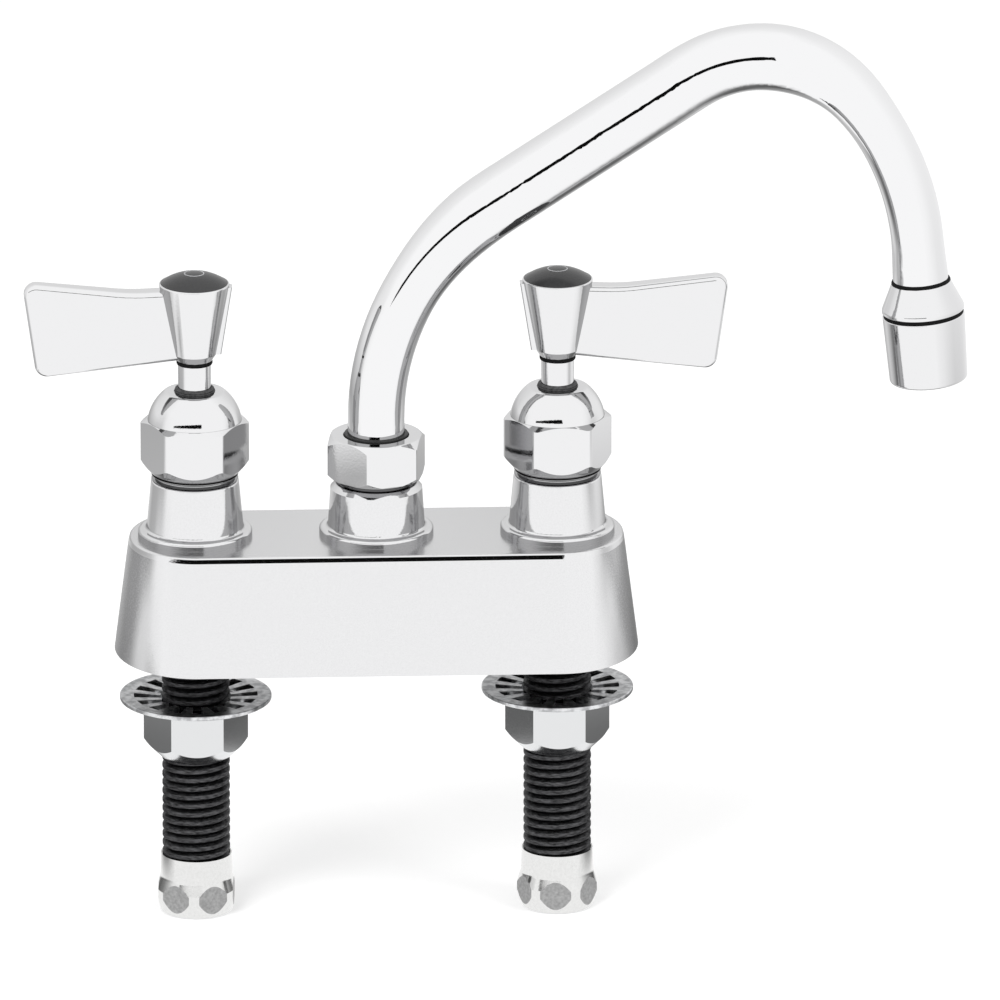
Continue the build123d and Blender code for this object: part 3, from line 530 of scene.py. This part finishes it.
def mesh_piece(name, points, faces, material, body):
    data = bpy.data.meshes.new(name)
    in_metres = [tuple(coordinate * MM for coordinate in point) for point in points]
    data.from_pydata(in_metres, [], faces)
    shade_smooth(data)
    data.materials.append(material)
    piece = bpy.data.objects.new(name, data)
    bpy.context.scene.collection.objects.link(piece)
    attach(piece, body)
    return piece


# %% [markdown]
# Small rings are turned pieces: an outline of radius and height points goes once round an axis.
# The axis may stand anywhere and lean, as the spout's outlet does. A little unevenness in the
# radius makes an uneven bead out of a perfect ring.

# %% Turned rings
wobble_waves = ((5, 1.0), (11, 2.5), (17, 0.0))    # waves in one turn, and where each begins


def turned_ring(name, outline, foot, lean_degrees, material, body, uneven=0.0,
                steps=120):
    place = Matrix.Translation(foot) @ Matrix.Rotation(radians(lean_degrees), 4, "Y")
    points = []
    for step in range(steps):
        angle = 2 * pi * step / steps
        swing = sum(sin(waves * angle + start) for waves, start in wobble_waves)
        wobble = uneven * swing / len(wobble_waves)
        for radius, height in outline:
            reach = radius + wobble
            points.append(tuple(place @ Vector((reach * cos(angle), reach * sin(angle), height))))
    count = len(outline)
    faces = []
    for step in range(steps):
        for corner in range(count):
            here = step * count + corner
            beside = step * count + (corner + 1) % count
            shift = ((step + 1) % steps) * count
            faces.append((here, shift + corner, shift + (corner + 1) % count, beside))
    return mesh_piece(name, points, faces, material, body)


# %% [markdown]
# Some rings are too fine for the measured model. Where each hub rests on its stem, a thin black
# ring is put in the gap, as painted shade there. Where the stem leaves the dome, the measured wiper
# is drawn again with its two worn lips. Where the tube enters the outlet adapter, an uneven black
# bead is put in the joint, as painted shade there. On each cap a thin pale ring is inlaid, as a
# plain generic mark.

# %% Rings at hubs, outlet and caps
hub_foot, cap_top = 84.5, 110.0
# painted shade: a black ring in the gap under each hub
hub_gap_shade_outline = [(4.62, -1.1), (4.9, -1.1), (5.06, -0.8), (5.06, -0.3), (4.9, -0.02),
                (4.62, -0.02)]
inlay_radius, inlay_drop = 2.7, 0.226
inlay_half_width, inlay_half_height = 0.16, 0.1
inlay_outline = [(inlay_radius + inlay_half_width * cos(radians(turn)),
                  -inlay_drop + inlay_half_height * sin(radians(turn)))
                 for turn in range(0, 360, 45)]
rings = []
for side, x in sides.items():
    rings.append(turned_ring(side + "_hub_gap_shade", hub_gap_shade_outline, (x, 0, hub_foot), 0, rubber,
                             side + "_valve", uneven=0.05))
    rings.append(turned_ring(side + "_cap_inlay", inlay_outline, (x, 0, cap_top), 0, ring_paint,
                             side + "_valve"))

packing_outline = [(4.7, 74.3), (5.0, 74.3), (5.0, 75.42), (5.66, 75.45), (5.7, 75.72),
                   (5.25, 75.84), (5.25, 75.98), (5.5, 76.03), (5.46, 76.26), (5.05, 76.34),
                   (4.98, 76.58), (4.7, 76.6)]
for side, x in sides.items():
    ring = turned_ring(side + "_stem_packing", packing_outline, (x, 0, 0), 0, packing, "base",
                       uneven=0.06)
    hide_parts(side + "_stem_wiper")
    rings.append(ring)

outlet_centre = (152.51, 0.0, 104.49)
outlet_lean = -4.7
# painted shade: an uneven black bead in the joint at the outlet
outlet_gap_shade_outline = [(7.7, 0.0), (8.32, 0.0), (8.3, 0.3), (8.1, 0.75), (7.86, 0.95), (7.7, 0.95)]
rings.append(turned_ring("outlet_gap_shade", outlet_gap_shade_outline, outlet_centre, outlet_lean, rubber,
                         "spout", uneven=0.08))
print("rings added:", len(rings))


# %% [markdown]
# Under each slotted washer lies a thin black ring, a dark piece put where the washer's slots show
# shade. It follows the washer's dish and stays clear of the nut's corners.

# %% Black rings for the shade under the washers
washer_low = {"hot": -15.8, "cold": -14.7}
washer_inner, washer_outer, washer_dish = 10.0, 21.3, 0.8
slot_shade_inner, slot_shade_outer = 13.6, 18.9
slot_shade_foot, slot_shade_gap = 0.3, 0.02    # its lower and upper face, below the washer
slot_shade_outline = []
for radius, below in ((slot_shade_inner, slot_shade_foot), (slot_shade_outer, slot_shade_foot),
                      (slot_shade_outer, slot_shade_gap), (slot_shade_inner, slot_shade_gap)):
    dish = washer_dish * (radius - washer_inner) / (washer_outer - washer_inner)
    slot_shade_outline.append((radius, dish - below))
# painted shade: a black ring under each washer, standing in for the shade seen through its slots
for side, x in sides.items():
    turned_ring(side + "_slot_shade_ring", slot_shade_outline, (x, 0, washer_low[side]), 0, rubber,
                side + "_clamp")
print("friction rings at:", washer_low)


# %% [markdown]
# A screw thread is one groove that climbs, so a stack of rings, which is enough for measuring,
# looks wrong: the real lines slope and never close. The mesh is laid out along the helix.
# Each row of points is one place in the thread's outline, carried round the axis and up by one
# pitch a turn, so that after a full turn a row meets the row one pitch above. Near the top the
# groove runs out. The two ragged ends are then cut square, and the bore is bridged in.

# %% Helical threads on the shanks
thread_outline = [(0.00, 0.05), (0.10, 0.0), (0.22, 0.05), (0.34, 0.36), (0.43, 0.90),
                  (0.50, 1.0), (0.57, 0.90), (0.66, 0.36), (0.78, 0.05), (0.90, 0.0)]
shank_bore, socket_radius = 6.35, 9.0
shank_bottom, shank_top, socket_top = -69.0, 0.0, 9.0
runout_foot = -3.4
turn_steps = 72
spare_pitches = 2    # beyond each end, and cut off again


def helical_grid(x, steps=turn_steps):
    pitches = int((shank_top - shank_bottom) / thread_pitch) + 2 * spare_pitches
    start = shank_bottom - spare_pitches * thread_pitch
    depth = thread_crest - thread_root
    points, faces = [], []
    rows = pitches * len(thread_outline)
    for step in range(steps):
        angle = 2 * pi * step / steps
        for row in range(rows):
            turn = row // len(thread_outline)
            along, share = thread_outline[row % len(thread_outline)]
            height = start + thread_pitch * (turn + along + step / steps)
            fade = min(max((runout_foot - height) / thread_pitch + 1, 0), 1)
            radius = thread_crest - depth * share * fade
            points.append((x + radius * cos(angle), radius * sin(angle), height))
    for step in range(steps):
        last = step == steps - 1
        climb = len(thread_outline) if last else 0
        beside = 0 if last else (step + 1) * rows
        for row in range(rows - 1 - climb):
            here = step * rows + row
            faces.append((here, beside + row + climb, beside + row + climb + 1, here + 1))
    return points, faces


def circle_edges(mesh, x, radius, height, steps=turn_steps):
    ring = []
    for step in range(steps):
        angle = 2 * pi * step / steps
        point = (x + radius * cos(angle), radius * sin(angle), height)
        ring.append(mesh.verts.new([coordinate * MM for coordinate in point]))
    return [mesh.edges.new((ring[step], ring[(step + 1) % steps])) for step in range(steps)]


def rim_at(mesh, height, tolerance=1e-6):
    return [edge for edge in mesh.edges
            if edge.is_boundary and abs(edge.verts[0].co.z - height * MM) < tolerance]


def close_shank(piece, x):
    mesh = bmesh.new()
    mesh.from_mesh(piece.data)
    for height, side_to_clear in ((shank_top, "clear_outer"), (shank_bottom, "clear_inner")):
        bmesh.ops.bisect_plane(mesh, geom=mesh.verts[:] + mesh.edges[:] + mesh.faces[:],
                               plane_co=(0, 0, height * MM), plane_no=(0, 0, 1),
                               **{side_to_clear: True})
    loops = [rim_at(mesh, shank_top)]
    bottom_rim = rim_at(mesh, shank_bottom)
    for radius, height in ((socket_radius, shank_top), (socket_radius, socket_top),
                           (shank_bore, socket_top), (shank_bore, shank_bottom)):
        loops.append(circle_edges(mesh, x, radius, height))
    loops.append(bottom_rim)
    for first, second in zip(loops, loops[1:]):
        bmesh.ops.bridge_loops(mesh, edges=first + second)
    bmesh.ops.recalc_face_normals(mesh, faces=mesh.faces)
    mesh.to_mesh(piece.data)
    mesh.free()
    shade_smooth(piece.data)


for side, x in sides.items():
    points, faces = helical_grid(x)
    shank = mesh_piece(side + "_threaded_shank", points, faces, thread_finish[side], "base")
    close_shank(shank, x)
    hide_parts(side + "_shank")
    print(shank.name, "points:", len(shank.data.vertices))


# %% [markdown]
# Where two chrome pieces face each other, each shows the other, and what that one shows has lost
# light twice: the gap between them looks dark. A plain white room is too bright for this, so the
# room is dimmed for every look after the first. Light Path counts the looks as Ray Depth, and
# counts one more where a ray ends in the world.

# %% Dimmer for reflections of reflections
second_look = 0.48


def dimmer(tree, first_look=1.0):
    """A share of the room's light: 1 at the first look, less from the second on."""
    path = add(tree, "ShaderNodeLightPath")
    share = add(tree, "ShaderNodeMapRange", {"Value": path.outputs["Ray Depth"]},
                From_Min=first_look, From_Max=first_look + 1.0, To_Min=1.0, To_Max=second_look)
    return share.outputs[0]


def straight_look(tree, path):
    """1 where the camera looks straight at the room, or through a clear piece."""
    straight = add(tree, "ShaderNodeMath",
                   {0: path.outputs["Is Camera Ray"], 1: path.outputs["Is Transmission Ray"]},
                   operation="MAXIMUM")
    return straight.outputs[0]


print("room in a second look:", second_look)


# %% [markdown]
# The floor is white paper. It is lit by the lamps, so it keeps the faucet's soft shadow. A faint
# glow that only the camera and clear materials see lifts it to the photograph's plain white
# without putting more light on the faucet. In reflections the paper is evenly white, because
# the far paper that the chrome sees is lit by the whole room.

# %% Floor
floor_height = cad_box[0][2] - 0.1 * MM
floor_reach = 6.0
paper_shades = (0.86, 0.90)
paper_glow = 0.4

corners = [(x * floor_reach, y * floor_reach, floor_height)
           for x, y in ((-1, -1), (1, -1), (1, 1), (-1, 1))]
floor_data = bpy.data.meshes.new("studio_floor")
floor_data.from_pydata(corners, [], [(0, 1, 2, 3)])
floor = bpy.data.objects.new("studio_floor", floor_data)
bpy.context.scene.collection.objects.link(floor)

paper = new_material("white_studio_paper")
tree = paper.node_tree
path = add(tree, "ShaderNodeLightPath")
place = add(tree, "ShaderNodeTexCoord")
fibre = add(tree, "ShaderNodeTexNoise", {"Vector": place.outputs["Object"]}, Scale=400.0,
            Detail=2.0)
shade = add(tree, "ShaderNodeMapRange", {"Value": fibre.outputs["Fac"]},
            To_Min=paper_shades[0], To_Max=paper_shades[1])
matt = add(tree, "ShaderNodeBsdfDiffuse", {"Color": shade.outputs["Result"]})
glow = add(tree, "ShaderNodeEmission", Color=(1, 1, 1, 1), Strength=paper_glow)
lit = add(tree, "ShaderNodeAddShader", {0: matt.outputs[0], 1: glow.outputs[0]})
seen = add(tree, "ShaderNodeMixShader",
           {0: straight_look(tree, path), 1: matt.outputs[0], 2: lit.outputs[0]})
even = add(tree, "ShaderNodeEmission", {"Strength": dimmer(tree)}, Color=(1, 1, 1, 1))
mixed = add(tree, "ShaderNodeMixShader",
            {0: path.outputs["Is Glossy Ray"], 1: seen.outputs[0], 2: even.outputs[0]})
floor_data.materials.append(finish_material(paper, mixed.outputs[0]))
print("floor at:", round(floor_height, 5))


# %% [markdown]
# The world is the white above the paper. The camera and the chrome see it as plain white, with
# the dimmer for second looks. As light it is kept lower, so that pale pieces don't clip.

# %% World
world_light = 0.55
world = bpy.data.worlds.new("white_studio")
bpy.context.scene.world = world
world.use_nodes = True
tree = world.node_tree
tree.nodes.clear()
path = add(tree, "ShaderNodeLightPath")
seen = add(tree, "ShaderNodeMath",
           {0: straight_look(tree, path), 1: path.outputs["Is Glossy Ray"]},
           operation="MAXIMUM")
strength = add(tree, "ShaderNodeMapRange", {"Value": seen.outputs[0]}, To_Min=world_light,
               To_Max=1.0)
dimmed = add(tree, "ShaderNodeMath",
             {0: strength.outputs[0], 1: dimmer(tree, first_look=2.0)}, operation="MULTIPLY")
shown = add(tree, "ShaderNodeMix",
            {"Factor": path.outputs["Is Glossy Ray"], 2: strength.outputs[0],
             3: dimmed.outputs[0]}, data_type="FLOAT")
sky = add(tree, "ShaderNodeBackground", {"Strength": shown.outputs[0]}, Color=(1, 1, 1, 1))
add(tree, "ShaderNodeOutputWorld", {"Surface": sky.outputs[0]})
print("world as light:", world_light)


# %% [markdown]
# Photographers stand grey and black boards round chrome, because a white room alone leaves it
# without edges. They are seen by reflections only. Each board here is a grid of points, and each
# point has the shade painted on it, in linear light: 0 is black and 1 is the white of the room.
# The panels between the points blend their shades.

# %% Painted boards
def painted_board(name, rows):
    """Rows of points (x, y, z, shade) make a board that gives off its painted shade."""
    across = len(rows[0])
    points = [point for row in rows for point in row]
    panels = []
    for level in range(len(rows) - 1):
        for panel in range(across - 1):
            here = level * across + panel
            panels.append((here, here + 1, here + across + 1, here + across))
    data = bpy.data.meshes.new(name)
    data.from_pydata([point[:3] for point in points], [], panels)
    paint = data.attributes.new("paint", "FLOAT", "POINT")
    paint.data.foreach_set("value", [point[3] for point in points])
    material = new_material(name + "_paint")
    tree = material.node_tree
    painted = add(tree, "ShaderNodeAttribute", attribute_name="paint")
    shown = add(tree, "ShaderNodeMath", {0: painted.outputs["Fac"], 1: dimmer(tree)},
                operation="MULTIPLY")
    surface = add(tree, "ShaderNodeEmission", {"Strength": shown.outputs[0]},
                  Color=(1, 1, 1, 1))
    data.materials.append(finish_material(material, surface.outputs[0]))
    board = bpy.data.objects.new(name, data)
    bpy.context.scene.collection.objects.link(board)
    board.visible_camera = False
    board.visible_diffuse = False
    board.visible_shadow = False
    board.visible_transmission = False
    print(name, "panels:", len(panels))


# %% [markdown]
# The first board is a tall curved wall round the back and sides, with a skirt on the floor. Its
# shade goes by height and by the direction round the faucet, where 0 is in front and 180 behind.
# A row of the table is a distance and a height in mm, then a shade for each direction.
# It is dark low down and behind, where the edges of round pieces look, and pale grey above, so
# that the upper side of the spout keeps a faint grey edge against the white page.

# %% Back wall
wall_start, wall_end, wall_step = 66, 294, 2    # degrees round the back, from the front
wall_directions = (-180, -165, -140, -125, -107, -97, -88, -78, -66,
                   66, 76, 86, 93, 105, 118, 128, 140, 165, 180)
wall_paint = (
    (85, -78, (1,) * len(wall_directions)),
    (115, -78, (.7, .6, .3, .12, .14, .3, .6, 1, 1,
                1, 1, .7, .4, .14, .12, .12, .3, .6, .7)),
    (210, -78, (.5, .5, .3, .14, .18, .3, .55, .9, 1,
                1, .9, .6, .4, .2, .14, .12, .2, .4, .5)),
    (210, -40, (.6, .6, .5, .36, .38, .5, .7, .95, 1,
                1, .95, .7, .6, .5, .4, .3, .28, .4, .6)),
    (210, -12, (.7, .75, .62, .46, .5, .75, .75, .42, .78,
                1, .95, .8, .7, .6, .48, .43, .4, .5, .7)),
    (210, 2, (.7, .75, .6, .44, .5, .75, .8, .94, .98,
              1, .95, .85, .8, .78, .72, .66, .5, .6, .7)),
    (210, 24, (.6, .4, .36, .42, .45, .45, .55, .95, 1,
               1, .85, .55, .6, .84, .88, .8, .5, .5, .65)),
    (210, 95, (.76, .70, .70, .80, .85, .8, .75, .95, 1,
               1, .95, .85, .85, .9, .9, .85, .75, .7, .76)),
    (225, 170, (.76, .76, .78, .82, .86, .9, .95, 1, 1,
                1, 1, .95, .92, .9, .88, .85, .8, .76, .76)),
    (300, 420, (.84, .84, .85, .87, .9, .94, 1, 1, 1,
                1, 1, 1, .96, .93, .9, .88, .86, .84, .84)),
    (300, 700, (.94, .94, .95, .96, .98, 1, 1, 1, 1,
                1, 1, 1, 1, 1, 1, .98, .96, .94, .94)),
    (200, 950, (1,) * len(wall_directions)),
)


def painted_shade(shades, direction):
    for number in range(1, len(wall_directions)):
        before, after = wall_directions[number - 1], wall_directions[number]
        if direction <= after:
            share = (direction - before) / (after - before)
            return shades[number - 1] * (1 - share) + shades[number] * share


wall_foot = floor_height + 0.2 * MM
wall_rows = []
for radius, height, shades in wall_paint:
    row = []
    for direction in range(wall_start, wall_end + 1, wall_step):
        turned = direction - 360 if direction > 180 else direction
        row.append((radius * MM * sin(radians(direction)),
                    -radius * MM * cos(radians(direction)),
                    max(height * MM, wall_foot), painted_shade(shades, turned)))
    wall_rows.append(row)
painted_board("back_wall", wall_rows)


# %% [markdown]
# The last board is a long black strip in front, across the line from the faucet to the lens. The
# spout shows it as the thin black line along its middle, and the base as the black line under
# its top edge.

# %% Black strip in front
strip_distance = -1.0
strip_middle = 0.36
strip_ends = ((-1.5, 0.055), (0.22, 0.09))
strip_shade = 0.004
painted_board("black_strip", [
    [(x, strip_distance, strip_middle + side * half, strip_shade) for x, half in strip_ends]
    for side in (-1, 1)])


# %% [markdown]
# Two plain soft boxes light the faucet. They stay out of the reflections, where their edges
# would look hard, and are set so that a mid grey renders as a mid grey.

# %% Lamps
def soft_box(name, place, size, power):
    data = bpy.data.lights.new(name, "AREA")
    data.shape = "RECTANGLE"
    data.size, data.size_y = size
    data.energy = power
    lamp = bpy.data.objects.new(name, data)
    bpy.context.scene.collection.objects.link(lamp)
    lamp.location = place
    lamp.rotation_euler = (aim - Vector(place)).to_track_quat("-Z", "Y").to_euler()
    lamp.visible_glossy = False
    return lamp


lamps = [
    soft_box("key_box", place=(-0.9, -1.2, 1.3), size=(1.0, 0.8), power=18.0),
    soft_box("fill_box", place=(1.2, -0.8, 0.9), size=(0.9, 0.9), power=8.0),
]
print("lamps:", [lamp.name for lamp in lamps])


# %% [markdown]
# The picture is shown with the plain Standard transform.

# %% View
bpy.context.scene.view_settings.view_transform = "Standard"
